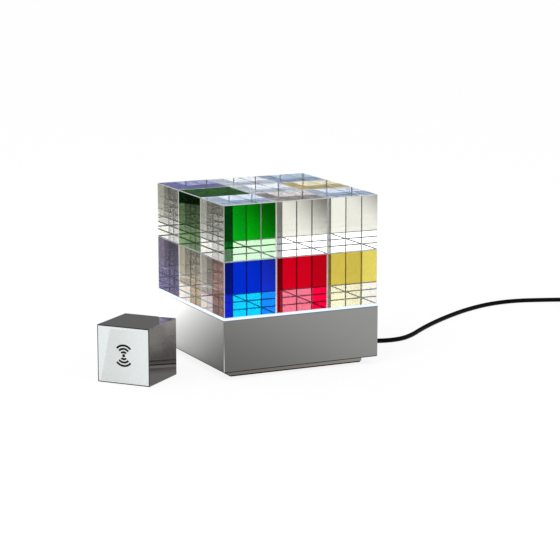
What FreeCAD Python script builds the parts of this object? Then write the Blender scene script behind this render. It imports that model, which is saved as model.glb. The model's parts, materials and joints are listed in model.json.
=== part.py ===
import FreeCAD, Part
import Sketcher
import math
import os
import re

# A table light: eighteen loose glass cubes stand on a glowing opal plate in a square metal base.
# A mirror-polished cube beside it is its wireless controller, and a thin lead runs off to the right.
# The origin is the centre of the base's underside, on the table. X runs along the front, from left to
# right, -Y is the front, and Z is up. Lengths are in millimetres.

Vector = FreeCAD.Vector
doc = FreeCAD.newDocument("CubeLight")

# ---------------------------------------------------------------------------------------------------
# Driving sizes

SIZES = {
    # glass cubes
    "cube_edge": 40.0,
    "cube_gap": 0.3,
    "cube_bevel": 0.4,
    # base, from the table up
    "pad_thickness": 1.0,
    "pad_inset": 0.5,
    "plinth_height": 4.2,
    "plinth_inset": 8.5,
    "base_overhang": 0.7,
    "housing_height": 36.8,
    "housing_wall": 3.0,
    "housing_floor": 3.0,
    "floor_flange": 16.0,
    "edge_break": 0.5,
    "opal_thickness": 2.0,
    "opal_step": 2.0,
    "fit_gap": 0.3,
    # screws, their holes and the posts that hold them
    "screw_radius": 1.5,
    "screw_clearance": 0.2,
    "thread_gap": 0.05,
    "head_radius": 2.8,
    "head_height": 1.6,
    "base_screw_length": 11.0,
    "board_screw_length": 9.0,
    "post_radius": 4.5,
    "post_inset": 10.0,
    "post_height": 13.8,
    # light source
    "board_gap": 1.0,
    "spreader_thickness": 3.0,
    "led_board_thickness": 1.6,
    "led_pitch": 16.0,
    "led_length": 3.5,
    "led_width": 2.8,
    "led_height": 0.7,
    "reflector_wall": 1.6,
    # control board in the base
    "standoff_height": 3.0,
    "standoff_radius": 2.5,
    "small_screw_radius": 1.0,
    "small_head_radius": 1.9,
    "small_head_height": 1.2,
    "small_screw_length": 5.0,
    "control_length": 50.0,
    "control_width": 52.0,
    "control_thickness": 1.6,
    "control_offset": 17.0,
    "hole_inset": 4.0,
    "chip_length": 7.0,
    "chip_width": 5.0,
    "chip_height": 1.4,
    "choke_radius": 5.0,
    "choke_height": 6.0,
    "capacitor_radius": 4.0,
    "capacitor_height": 8.0,
    "radio_length": 18.0,
    "radio_width": 14.0,
    "radio_height": 2.4,
    "part_spacing": 15.0,
    "terminal_length": 9.0,
    "terminal_width": 10.0,
    "terminal_height": 6.0,
    "wire_radius": 0.8,
    "wire_spacing": 4.0,
    # lead, its slot in the plinth, its clamp and its strain relief
    "cord_diameter": 3.5,
    "slot_gap": 0.45,
    "slot_length": 30.0,
    "clamp_length": 4.0,
    "clamp_width": 17.0,
    "clamp_thickness": 1.5,
    "clamp_setback": 1.0,
    "relief_length": 22.0,
    "relief_wall": 0.3,
    "relief_bite": 8.5,
    "bore_gap": 0.04,
    # controller
    "controller_edge": 40.8,
    "controller_x": -113.2,
    "controller_y": -28.7,
    "controller_turn": -50.0,
    "controller_bevel": 0.3,
    "foot_thickness": 0.5,
    "foot_inset": 3.0,
    "shell_wall": 2.5,
    "seat_depth": 1.6,
    "seat_rim": 0.6,
    "seat_gap": 0.1,
    "panel_thickness": 1.5,
    "frame_gap": 0.2,
    "frame_wall": 1.0,
    "frame_step": 5.4,
    "frame_ledge": 1.0,
    "touch_thickness": 0.3,
    "touch_inset": 3.0,
    "small_board_thickness": 1.6,
    "holder_edge": 24.0,
    "holder_depth": 4.6,
    "holder_floor": 1.0,
    "cell_radius": 10.0,
    "cell_thickness": 3.2,
    "cell_gap": 0.2,
    "tab_width": 8.0,
    "tab_thickness": 1.0,
    "tab_depth": 4.0,
    "notch_width": 12.0,
    "notch_height": 2.0,
    # plug-in adapter at the end of the lead
    "adapter_x": 400.0,
    "adapter_y": 62.0,
    "adapter_length": 54.0,
    "adapter_depth": 30.0,
    "adapter_width": 28.0,
    "adapter_wall": 1.8,
    "adapter_edge": 3.0,
    "adapter_board_thickness": 1.6,
    "transformer_length": 20.0,
    "transformer_width": 16.0,
    "transformer_height": 9.0,
    "pin_radius": 2.0,
    "pin_collar_radius": 2.6,
    "pin_length": 19.0,
    "pin_collar_rise": 1.0,
    "pin_root": 6.0,
    "pin_spacing": 19.0,
    "pin_place": 14.0,
    "bush_length": 13.0,
    "bush_radius": 3.6,
    "bush_tip_radius": 2.3,
    # coil of spare lead and its ties
    "coil_mean_radius": 20.8,
    "turn_gap": 0.45,
    "tie_width": 8.0,
    "tie_thickness": 0.8,
    "tie_gap": 0.35,
    "tie_rest": 0.05,
}

sheet = doc.addObject("Spreadsheet::Sheet", "Sizes")
for row, (size_name, size_value) in enumerate(SIZES.items(), start=1):
    sheet.set(f"A{row}", size_name)
    sheet.set(f"B{row}", str(size_value))
    sheet.setAlias(f"B{row}", size_name)
doc.recompute()


def size(name):
    """Read one driving size as a number."""
    return float(sheet.get(name))


def linked(expression):
    """Point every size name in an expression at the sheet. A size name is words joined by underscores."""
    return re.sub(r"\b[a-z]+(?:_[a-z]+)+\b", lambda word: "Sizes." + word.group(), str(expression))


# Levels and widths that several pieces share, as expressions on the driving sizes.
CUBE_PITCH = "(cube_edge + cube_gap)"
STACK = "(3 * cube_edge + 2 * cube_gap)"
BASE = f"({STACK} + 2 * base_overhang)"
INSIDE = f"({BASE} - 2 * housing_wall)"
PLINTH = f"({BASE} - 2 * plinth_inset)"
FLOOR_OPENING = f"({INSIDE} - 2 * floor_flange)"
HOUSING_BOTTOM = "(pad_thickness + plinth_height)"
HOUSING_TOP = f"({HOUSING_BOTTOM} + housing_height)"
OPAL_TOP = f"({HOUSING_TOP} + opal_thickness)"
POST_TOP = f"({HOUSING_BOTTOM} + housing_floor + post_height)"
POST_PLACE = f"({INSIDE} / 2 - post_inset)"
LED_BOARD_TOP = f"({POST_TOP} + spreader_thickness + led_board_thickness)"
BOARD_SIDE = f"({INSIDE} - 2 * board_gap)"
CONTROL_TOP = f"({HOUSING_BOTTOM} + standoff_height + control_thickness)"
TERMINAL_FACE = "(control_length / 2 - control_offset)"
CORD_LEVEL = "(pad_thickness + plinth_height / 2)"
CORD_RADIUS = "(cord_diameter / 2)"

# ---------------------------------------------------------------------------------------------------
# Ways of making things

parts = []


def bind(item, **expressions):
    """Bind properties of an item to expressions. at= gives the three coordinates of its placement."""
    at = expressions.pop("at", ())
    for axis, expression in zip("xyz", at):
        item.setExpression(".Placement.Base." + axis, linked(expression))
    for name, expression in expressions.items():
        item.setExpression(name, linked(expression))
    return item


def part(item, label):
    """Name a finished sub-part and put it on the list of what is written out."""
    item.Label = label
    parts.append(item)
    return item


def box(name, length, width, height, at):
    """Make a box from expressions, with its lowest corner at a place."""
    return bind(doc.addObject("Part::Box", name), Length=length, Width=width, Height=height, at=at)


def slab(name, length, width, height, x, y, z):
    """Make a box centred on x and y, standing on the level z."""
    return box(name, length, width, height, (f"{x} - {length} / 2", f"{y} - {width} / 2", z))


def cylinder(name, radius, height, at):
    """Make an upright cylinder on a place."""
    return bind(doc.addObject("Part::Cylinder", name), Radius=radius, Height=height, at=at)


def cone(name, radius, top_radius, height, at):
    """Make an upright cone on a place."""
    shape = doc.addObject("Part::Cone", name)
    return bind(shape, Radius1=radius, Radius2=top_radius, Height=height, at=at)


def joined(name, items):
    """Fuse items into one solid."""
    fused = doc.addObject("Part::MultiFuse", name)
    fused.Shapes = items
    return fused


def cut(name, base, tools):
    """Cut tools out of a base item."""
    tool = tools[0] if len(tools) == 1 else joined(name + "_tools", tools)
    result = doc.addObject("Part::Cut", name)
    result.Base = base
    result.Tool = tool
    return result


def group(name, items):
    """Keep items together as one group of separate solids."""
    compound = doc.addObject("Part::Compound", name)
    compound.Links = items
    return compound


def screw(name, x, y, seat, length, radius, head_radius, head_height, upward=False):
    """Make a screw whose head's underside lies on the level seat, or whose countersunk head starts there.

    A countersunk screw points up, with its cone sunk in what it holds, and a pan head screw points down.
    """
    if upward:
        head = cone(name + "_head", head_radius, radius, head_height, (x, y, seat))
        shank = cylinder(name + "_shank", radius, length, (x, y, seat))
    else:
        head = cylinder(name + "_head", head_radius, head_height, (x, y, seat))
        shank = cylinder(name + "_shank", radius, f"({length} + {head_height} / 2)",
                         (x, y, f"{seat} - {length}"))
    return joined(name, [head, shank])


def body(name):
    """Start a body."""
    return doc.addObject("PartDesign::Body", name)


def block(owner, name, length, width, height, at, cutting=False):
    """Add a box to a body, or cut one out of it."""
    kind = "PartDesign::SubtractiveBox" if cutting else "PartDesign::AdditiveBox"
    return bind(owner.newObject(kind, name), Length=length, Width=width, Height=height, at=at)


def centred_block(owner, name, length, width, height, level, cutting=False):
    """Add or cut a box that is centred on the body's upright axis."""
    at = (f"-{length} / 2", f"-{width} / 2", level)
    return block(owner, name, length, width, height, at, cutting)


def drum(owner, name, radius, height, at, cutting=False):
    """Add an upright cylinder to a body, or cut one out of it."""
    kind = "PartDesign::SubtractiveCylinder" if cutting else "PartDesign::AdditiveCylinder"
    return bind(owner.newObject(kind, name), Radius=radius, Height=height, at=at)


def four_corners(owner, name, feature):
    """Repeat a feature at the body's four corners, by quarter turns about the upright axis."""
    doc.recompute()
    pattern = owner.newObject("PartDesign::PolarPattern", name)
    pattern.Originals = [feature]
    pattern.Axis = (origin_item(owner, "Z_Axis"), [""])
    pattern.Angle = 360
    pattern.Occurrences = 4
    owner.Tip = pattern
    doc.recompute()
    return pattern


def origin_item(owner, role):
    """Find one of a body's own origin planes or axes."""
    return next(item for item in owner.Origin.OriginFeatures if item.Role == role)


def square_sketch(owner, name, side, level="0"):
    """Sketch a square, centred on the body's upright axis and raised to a level."""
    sketch = owner.newObject("Sketcher::SketchObject", name)
    sketch.AttachmentSupport = (origin_item(owner, "XY_Plane"), [""])
    sketch.MapMode = "FlatFace"
    sketch.setExpression(".AttachmentOffset.Base.z", linked(level))
    corners = [Vector(-1, -1, 0), Vector(1, -1, 0), Vector(1, 1, 0), Vector(-1, 1, 0)]
    for index, corner in enumerate(corners):
        sketch.addGeometry(Part.LineSegment(corner, corners[(index + 1) % 4]))
    for index in range(4):
        sketch.addConstraint(Sketcher.Constraint("Coincident", index, 2, (index + 1) % 4, 1))
    for index in (0, 2):
        sketch.addConstraint(Sketcher.Constraint("Horizontal", index))
        sketch.addConstraint(Sketcher.Constraint("Vertical", index + 1))
    sketch.addConstraint(Sketcher.Constraint("Symmetric", 0, 1, 2, 1, -1, 1))
    for label, kind, line in (("width", "DistanceX", 0), ("depth", "DistanceY", 1)):
        number = sketch.addConstraint(Sketcher.Constraint(kind, line, 1, line, 2, 2.0))
        sketch.renameConstraint(number, label)
        sketch.setExpression("Constraints." + label, linked(side))
    return sketch


def pad(owner, name, sketch, length):
    """Raise a sketch upwards."""
    feature = owner.newObject("PartDesign::Pad", name)
    feature.Profile = sketch
    return bind(feature, Length=length)


def pocket(owner, name, sketch, length):
    """Sink a sketch upwards into a body, from the sketch's own level."""
    feature = owner.newObject("PartDesign::Pocket", name)
    feature.Profile = sketch
    feature.Reversed = True
    return bind(feature, Length=length)


def break_edges(owner, name, chosen, width, rounded=False):
    """Bevel or round the edges that a test on their two end points chooses."""
    doc.recompute()
    base = owner.Tip
    kind, sizes = ("PartDesign::Fillet", "Radius") if rounded else ("PartDesign::Chamfer", "Size")
    names = [f"Edge{number}" for number, edge in enumerate(base.Shape.Edges, start=1) if chosen(edge)]
    feature = owner.newObject(kind, name)
    feature.Base = (base, names)
    return bind(feature, **{sizes: width})


def ends(edge):
    """Give an edge's two end points."""
    return edge.Vertexes[0].Point, edge.Vertexes[-1].Point


def runs_along(edge, axis):
    """Tell whether an edge is straight and parallel to an axis, 0 to 2 for x to z."""
    first, second = ends(edge)
    across = [abs(first[other] - second[other]) for other in range(3) if other != axis]
    return len(edge.Vertexes) == 2 and max(across) < 1e-6 < abs(first[axis] - second[axis])


def far_out(edge, half):
    """Tell whether both ends of an edge lie on a square of this half width about the upright axis."""
    return all(max(abs(point.x), abs(point.y)) > half - 1e-3 for point in ends(edge))


# ---------------------------------------------------------------------------------------------------
# Base: pad, plinth, housing and opal plate

def make_foot_pad():
    """Rubber sheet under the plinth, which the light stands on."""
    side = f"({PLINTH} - 2 * pad_inset)"
    pad_body = body("foot_pad")
    pad(pad_body, "pad_sheet", square_sketch(pad_body, "pad_outline", side), "pad_thickness")
    break_edges(pad_body, "pad_corners", lambda edge: runs_along(edge, 2), "pad_thickness", rounded=True)
    part(pad_body, "foot_pad")


def make_base_plate():
    """Plinth plate that closes the housing from below, with countersunk holes and a slot for the lead."""
    plate = body("base_plate")
    pad(plate, "plate_sheet", square_sketch(plate, "plate_outline", PLINTH, "pad_thickness"), "plinth_height")
    doc.recompute()
    slot_width = "(cord_diameter + 2 * slot_gap)"
    block(plate, "cord_slot", "slot_length", slot_width, "plinth_height",
          (f"{PLINTH} / 2 - slot_length", f"-{slot_width} / 2", "pad_thickness"), cutting=True)
    hole = drum(plate, "screw_hole", "(screw_radius + screw_clearance)", "plinth_height",
                (POST_PLACE, POST_PLACE, "pad_thickness"), cutting=True)
    four_corners(plate, "screw_holes", hole)
    sink = plate.newObject("PartDesign::SubtractiveCone", "countersink")
    bind(sink, Radius1="(head_radius + screw_clearance)", Radius2="(screw_radius + screw_clearance)",
         Height="(head_height + screw_clearance)", at=(POST_PLACE, POST_PLACE, "pad_thickness"))
    four_corners(plate, "countersinks", sink)
    half = size_of_plinth() / 2
    break_edges(plate, "plate_corners", lambda edge: is_outer_corner(edge, half), "edge_break")
    part(plate, "base_plate")


def size_of_base():
    """Width of the whole base."""
    return 3 * size("cube_edge") + 2 * size("cube_gap") + 2 * size("base_overhang")


def size_of_plinth():
    """Width of the plinth plate."""
    return size_of_base() - 2 * size("plinth_inset")


def is_outer_corner(edge, half):
    """Tell whether an edge is an upright one at a corner of a centred square of this half width."""
    point = ends(edge)[0]
    return runs_along(edge, 2) and min(abs(point.x), abs(point.y)) > half - 1e-3


def make_housing():
    """Square housing, open at the top, with an inward floor flange and four screw posts."""
    housing = body("base_housing")
    pad(housing, "outside", square_sketch(housing, "outline", BASE, HOUSING_BOTTOM), "housing_height")
    doc.recompute()
    inside = square_sketch(housing, "inside_outline", INSIDE, f"({HOUSING_BOTTOM} + housing_floor)")
    pocket(housing, "hollow", inside, "(housing_height - housing_floor)")
    opening = square_sketch(housing, "opening_outline", FLOOR_OPENING, HOUSING_BOTTOM)
    pocket(housing, "floor_opening", opening, "housing_floor")
    post = drum(housing, "post", "post_radius", f"({POST_TOP} - {HOUSING_BOTTOM} - housing_floor / 2)",
                (POST_PLACE, POST_PLACE, f"({HOUSING_BOTTOM} + housing_floor / 2)"))
    four_corners(housing, "posts", post)
    bore = drum(housing, "post_bore", "(screw_radius + thread_gap)", f"({POST_TOP} - {HOUSING_BOTTOM})",
                (POST_PLACE, POST_PLACE, HOUSING_BOTTOM), cutting=True)
    four_corners(housing, "post_bores", bore)
    half = size_of_base() / 2
    break_edges(housing, "outer_edges", lambda edge: far_out(edge, half) and not on_rim(edge), "edge_break")
    part(housing, "base_housing")


def on_rim(edge):
    """Tell whether an edge lies in the housing's top face, where the opal plate sits flush."""
    top = size("pad_thickness") + size("plinth_height") + size("housing_height")
    return min(point.z for point in ends(edge)) > top - 1e-3


def make_opal_plate():
    """Opal plate that covers the housing flush with its sides, with a step that centres it inside."""
    opal = body("diffuser_plate")
    step_side = f"({INSIDE} - 2 * fit_gap)"
    step = square_sketch(opal, "step_outline", step_side, f"({HOUSING_TOP} - opal_step)")
    pad(opal, "step", step, "(opal_step + opal_thickness / 2)")
    pad(opal, "sheet", square_sketch(opal, "sheet_outline", BASE, HOUSING_TOP), "opal_thickness")
    half = size_of_base() / 2
    break_edges(opal, "sheet_corners", lambda edge: is_outer_corner(edge, half), "edge_break")
    part(opal, "diffuser_plate")


def make_base_screws():
    """Countersunk screws that hold the plinth plate to the housing's posts."""
    screws = []
    for number, (x, y) in enumerate(corner_places(POST_PLACE), start=1):
        screws.append(screw(f"base_screw_{number}", x, y, "pad_thickness", "base_screw_length",
                            "screw_radius", "head_radius", "head_height", upward=True))
    part(group("base_plate_screws", screws), "base_plate_screws")


def corner_places(place, x_centre="0", y_place=None):
    """Give the four corners of a rectangle, as pairs of expressions."""
    y_place = y_place or place
    return [(f"{x_centre} + {x_sign} * {place}", f"{y_sign} * {y_place}")
            for x_sign in (-1, 1) for y_sign in (-1, 1)]


# ---------------------------------------------------------------------------------------------------
# Light source

def make_drilled_board(label, thickness, level, wire_hole):
    """Square board on the posts, drilled for its four screws and, below the LEDs, for the two wires."""
    sheet_box = slab(label + "_sheet", BOARD_SIDE, BOARD_SIDE, thickness, "0", "0", level)
    holes = [cylinder(f"{label}_hole_{number}", "(screw_radius + screw_clearance)", thickness, (x, y, level))
             for number, (x, y) in enumerate(corner_places(POST_PLACE), start=1)]
    if wire_hole:
        holes += [cylinder(f"{label}_wire_hole_{number}", "(wire_radius + screw_clearance)", thickness,
                           ("-control_offset", y, level))
                  for number, y in enumerate(wire_places(), start=1)]
    part(cut(label, sheet_box, holes), label)


def wire_places():
    """Y of the two wires that feed the LED board."""
    return ["-wire_spacing / 2", "wire_spacing / 2"]


def make_led_packages():
    """Six by six small LED packages on their board."""
    packages = []
    for column in range(6):
        for row in range(6):
            x = f"{column - 2.5} * led_pitch"
            y = f"{row - 2.5} * led_pitch"
            packages.append(slab(f"led_{column}_{row}", "led_length", "led_width", "led_height",
                                 x, y, LED_BOARD_TOP))
    part(group("led_packages", packages), "led_packages")


def make_led_screws():
    """Pan head screws that hold the LED board and the heat spreader down on the posts."""
    screws = [screw(f"led_screw_{number}", x, y, LED_BOARD_TOP, "board_screw_length",
                    "screw_radius", "head_radius", "head_height")
              for number, (x, y) in enumerate(corner_places(POST_PLACE), start=1)]
    part(group("led_board_screws", screws), "led_board_screws")


def make_reflector():
    """White square wall between the LED board and the opal plate."""
    outer = f"({INSIDE} - 2 * fit_gap)"
    inner = f"({outer} - 2 * reflector_wall)"
    height = f"({HOUSING_TOP} - opal_step - {LED_BOARD_TOP})"
    reflector = body("reflector_frame")
    pad(reflector, "wall", square_sketch(reflector, "wall_outline", outer, LED_BOARD_TOP), height)
    doc.recompute()
    hollow = square_sketch(reflector, "light_outline", inner, LED_BOARD_TOP)
    pocket(reflector, "light_opening", hollow, height)
    part(reflector, "reflector_frame")


def make_led_wires():
    """Two wires from the control board up through the heat spreader to the LED board."""
    level = f"({POST_TOP} + spreader_thickness)"
    wires = [cylinder(f"led_wire_{number}", "wire_radius", f"({level} - {CONTROL_TOP})",
                      ("-control_offset", y, CONTROL_TOP))
             for number, y in enumerate(wire_places(), start=1)]
    part(group("led_wires", wires), "led_wires")


# ---------------------------------------------------------------------------------------------------
# Control board and lead inside the base

def control_corners():
    """Places of the control board's four fixing holes."""
    return corner_places("(control_length / 2 - hole_inset)", "-control_offset",
                         "(control_width / 2 - hole_inset)")


def make_control_board():
    """Control board on four standoffs, with its screws."""
    level = f"({HOUSING_BOTTOM} + standoff_height)"
    sheet_box = slab("control_sheet", "control_length", "control_width", "control_thickness",
                     "-control_offset", "0", level)
    holes = []
    standoffs = []
    screws = []
    for number, (x, y) in enumerate(control_corners(), start=1):
        bore = "(small_screw_radius + thread_gap)"
        holes.append(cylinder(f"control_hole_{number}", bore, "control_thickness", (x, y, level)))
        post = cylinder(f"standoff_post_{number}", "standoff_radius", "standoff_height",
                        (x, y, HOUSING_BOTTOM))
        hole = cylinder(f"standoff_bore_{number}", bore, "standoff_height", (x, y, HOUSING_BOTTOM))
        standoffs.append(cut(f"standoff_{number}", post, [hole]))
        screws.append(screw(f"control_screw_{number}", x, y, CONTROL_TOP,
                            "min(small_screw_length; control_thickness + standoff_height)",
                            "small_screw_radius", "small_head_radius", "small_head_height"))
    part(cut("control_board", sheet_box, holes), "control_board")
    part(group("board_standoffs", standoffs), "board_standoffs")
    part(group("control_board_screws", screws), "control_board_screws")


def make_control_parts():
    """Driver components, the radio module and the lead's terminal on the control board."""
    chip = slab("driver_chip", "chip_length", "chip_width", "chip_height",
                "-control_offset", "-part_spacing", CONTROL_TOP)
    choke = cylinder("driver_choke", "choke_radius", "choke_height",
                     ("-control_offset - part_spacing", "-part_spacing", CONTROL_TOP))
    capacitor = cylinder("driver_capacitor", "capacitor_radius", "capacitor_height",
                         ("-control_offset - part_spacing", "0", CONTROL_TOP))
    part(group("driver_components", [chip, choke, capacitor]), "driver_components")
    radio = slab("radio_box", "radio_length", "radio_width", "radio_height",
                 "-control_offset", "(control_width / 2 - hole_inset - radio_width / 2)", CONTROL_TOP)
    part(radio, "radio_module")
    terminal = box("terminal_box", "terminal_length", "terminal_width", "terminal_height",
                   (f"{TERMINAL_FACE} - terminal_length", "-terminal_width / 2", CONTROL_TOP))
    part(terminal, "cord_terminal")


def make_cord_clamp():
    """Bar across the slot that presses on the lead, with its two screws."""
    x = f"({FLOOR_OPENING} / 2 - clamp_setback - clamp_length)"
    rib_drop = f"({HOUSING_BOTTOM} - {CORD_LEVEL} - {CORD_RADIUS})"
    bar = box("clamp_bar", "clamp_length", "clamp_width", "clamp_thickness",
              (x, "-clamp_width / 2", HOUSING_BOTTOM))
    rib = box("clamp_rib", "clamp_length", "cord_diameter", f"({rib_drop} + clamp_thickness / 2)",
              (x, f"-{CORD_RADIUS}", f"{HOUSING_BOTTOM} - {rib_drop}"))
    holes = []
    screws = []
    for number, sign in enumerate((-1, 1), start=1):
        place = (f"{x} + clamp_length / 2", f"{sign} * (clamp_width / 2 - small_head_radius - thread_gap)")
        holes.append(cylinder(f"clamp_hole_{number}", "(small_screw_radius + thread_gap)",
                              "clamp_thickness", (*place, HOUSING_BOTTOM)))
        screws.append(screw(f"clamp_screw_{number}", *place, f"({HOUSING_BOTTOM} + clamp_thickness)",
                            "clamp_thickness", "small_screw_radius", "small_head_radius",
                            "small_head_height"))
    part(cut("cord_clamp", joined("clamp_blank", [bar, rib]), holes), "cord_clamp")
    part(group("cord_clamp_screws", screws), "cord_clamp_screws")


def make_strain_relief():
    """Rubber sleeve round the lead: it fills the slot's mouth and tapers outwards, clear of the table."""
    start = size_of_plinth() / 2 - size("relief_bite")
    cord_radius = size("cord_diameter") / 2
    bore = cord_radius + size("bore_gap")
    outer = bore + size("relief_wall")
    tip = bore + size("relief_wall") / 2
    outline = [(start, bore), (start, outer), (start + size("relief_bite"), outer),
               (start + size("relief_length"), tip), (start + size("relief_length"), bore)]
    level = size("pad_thickness") + size("plinth_height") / 2
    points = [Vector(x, 0, radius) for x, radius in outline]
    face = Part.Face(Part.makePolygon(points + points[:1]))
    feature = doc.addObject("Part::Feature", "strain_relief")
    feature.Shape = face.revolve(Vector(0, 0, 0), Vector(1, 0, 0), 360)
    feature.Placement.Base = Vector(0, 0, level)
    part(feature, "strain_relief")


# ---------------------------------------------------------------------------------------------------
# Glass cubes

COLUMNS = ("left", "centre", "right")
ROWS = ("front", "middle", "back")
LAYERS = ("lower", "upper")


def make_cubes():
    """Eighteen glass cubes with ground bevels, side by side with an air gap, in two layers."""
    for layer_number, layer in enumerate(LAYERS):
        for row_number, row in enumerate(ROWS):
            for column_number, column in enumerate(COLUMNS):
                label = f"cube_{row}_{column}_{layer}"
                cube = body(label)
                block(cube, "glass", "cube_edge", "cube_edge", "cube_edge", ("0", "0", "0"))
                break_edges(cube, "bevels", lambda edge: True, "cube_bevel")
                bind(cube, at=(f"{column_number} * {CUBE_PITCH} - {STACK} / 2",
                               f"{row_number} * {CUBE_PITCH} - {STACK} / 2",
                               f"{OPAL_TOP} + {layer_number} * cube_edge"))
                part(cube, label)


# ---------------------------------------------------------------------------------------------------
# Controller: its own frame has the front at -Y, and it stands turned on the table

SHELL_HALF = "(controller_edge / 2)"
SEAT = "(controller_edge - 2 * seat_rim)"
TUNNEL = "(controller_edge - 2 * shell_wall)"
FRAME_SIDE = f"({TUNNEL} - 2 * frame_gap)"
FRAME_INSIDE = f"({FRAME_SIDE} - 2 * frame_wall)"
FRAME_FRONT = f"(seat_depth - {SHELL_HALF})"
BOARD_FRONT = f"({FRAME_FRONT} + frame_step)"
BOARD_BACK = f"({BOARD_FRONT} + small_board_thickness)"


def controller_part(name):
    """Start a body that stands where the controller stands and is turned with it."""
    owner = body(name)
    bind(owner, at=("controller_x", "controller_y", "foot_thickness"))
    owner.setExpression(".Placement.Rotation.Angle", linked("controller_turn"))
    return owner


def upright_square(owner, name, side, depth, front, cutting=False):
    """Add or cut a square slab that stands upright, centred in the controller, from its front face back."""
    at = (f"-{side} / 2", front, f"(controller_edge - {side}) / 2")
    return block(owner, name, side, depth, side, at, cutting)


def make_controller_shell():
    """Polished metal tube, open to the front and the back, with a seat at each end."""
    shell = controller_part("controller_shell")
    centred_block(shell, "cube", "controller_edge", "controller_edge", "controller_edge", "0")
    break_edges(shell, "cube_bevels", lambda edge: True, "controller_bevel")
    upright_square(shell, "tunnel", TUNNEL, "controller_edge", f"-{SHELL_HALF}", cutting=True)
    upright_square(shell, "front_seat", SEAT, "seat_depth", f"-{SHELL_HALF}", cutting=True)
    upright_square(shell, "back_seat", SEAT, "seat_depth", f"{SHELL_HALF} - seat_depth", cutting=True)
    part(shell, "controller_shell")


def make_controller_panels():
    """Glass front panel with the touch plate behind it, and the back cover with its tabs and notch."""
    side = f"({SEAT} - 2 * seat_gap)"
    front_panel = controller_part("controller_front_panel")
    upright_square(front_panel, "pane", side, "panel_thickness", f"{FRAME_FRONT} - panel_thickness")
    part(front_panel, "controller_front_panel")
    touch = controller_part("controller_touch_plate")
    touch_side = f"({FRAME_INSIDE} - 2 * frame_ledge - 2 * touch_inset)"
    upright_square(touch, "foil", touch_side, "touch_thickness", FRAME_FRONT)
    part(touch, "controller_touch_plate")
    cover = controller_part("controller_back_cover")
    cover_front = f"({SHELL_HALF} - seat_depth)"
    upright_square(cover, "cover", side, "panel_thickness", cover_front)
    for name, sign in (("left_tab", -1), ("right_tab", 1)):
        edge = f"({FRAME_INSIDE} / 2 - fit_gap)"
        x = f"-{edge}" if sign < 0 else f"{edge} - tab_thickness"
        block(cover, name, "tab_thickness", "(tab_depth + panel_thickness / 2)", "tab_width",
              (x, f"{cover_front} - tab_depth", "(controller_edge - tab_width) / 2"))
    notch_level = f"((controller_edge - {side}) / 2)"
    block(cover, "notch", "notch_width", "panel_thickness", "notch_height",
          ("-notch_width / 2", cover_front, notch_level), cutting=True)
    part(cover, "controller_back_cover")


def make_controller_inside():
    """Plastic frame from panel to cover, the board against its ledge, the cell in its holder."""
    frame = controller_part("controller_frame")
    frame_length = "(controller_edge - 2 * seat_depth)"
    upright_square(frame, "frame_tube", FRAME_SIDE, frame_length, FRAME_FRONT)
    upright_square(frame, "frame_window", f"({FRAME_INSIDE} - 2 * frame_ledge)", frame_length, FRAME_FRONT,
                   cutting=True)
    upright_square(frame, "frame_room", FRAME_INSIDE, f"({frame_length} - frame_step)", BOARD_FRONT,
                   cutting=True)
    part(frame, "controller_frame")
    board = controller_part("controller_board")
    board_side = f"({FRAME_INSIDE} - 2 * seat_gap)"
    upright_square(board, "board_sheet", board_side, "small_board_thickness", BOARD_FRONT)
    part(board, "controller_board")
    chip = controller_part("controller_radio_chip")
    chip_front = f"{BOARD_FRONT} - chip_height"
    block(chip, "package", "chip_length", "chip_height", "chip_width",
          ("-chip_length / 2", chip_front, "(controller_edge - chip_width) / 2"))
    part(chip, "controller_radio_chip")
    make_cell_and_holder()


def make_cell_and_holder():
    """Coin cell lying in a round recess of its holder, on the back of the board."""
    holder = controller_part("controller_cell_holder")
    upright_square(holder, "holder", "holder_edge", "holder_depth", BOARD_BACK)
    recess = holder.newObject("PartDesign::SubtractiveCylinder", "recess")
    lie_along_y(recess, f"{BOARD_BACK} + holder_floor")
    bind(recess, Radius="(cell_radius + cell_gap)", Height="holder_depth")
    part(holder, "controller_cell_holder")
    cell = controller_part("controller_coin_cell")
    disc = cell.newObject("PartDesign::AdditiveCylinder", "disc")
    lie_along_y(disc, f"{BOARD_BACK} + holder_floor")
    bind(disc, Radius="cell_radius", Height="cell_thickness")
    part(cell, "controller_coin_cell")


def lie_along_y(item, front):
    """Turn a cylinder of the controller to run backwards from a front plane, at mid height."""
    item.Placement.Rotation = FreeCAD.Rotation(Vector(1, 0, 0), -90)
    bind(item, at=("0", front, "controller_edge / 2"))


def make_controller_foot():
    """Thin pad under the controller."""
    foot = controller_part("controller_foot")
    side = "(controller_edge - 2 * foot_inset)"
    centred_block(foot, "foot_sheet", side, side, "foot_thickness", "-foot_thickness")
    part(foot, "controller_foot")


# ---------------------------------------------------------------------------------------------------
# Plug-in adapter: its own frame has the lead's end at -X and the contact pins at +Y

def adapter_part(name):
    """Start a body that lies where the adapter lies on the table."""
    return bind(body(name), at=("adapter_x", "adapter_y", "0"))


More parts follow.
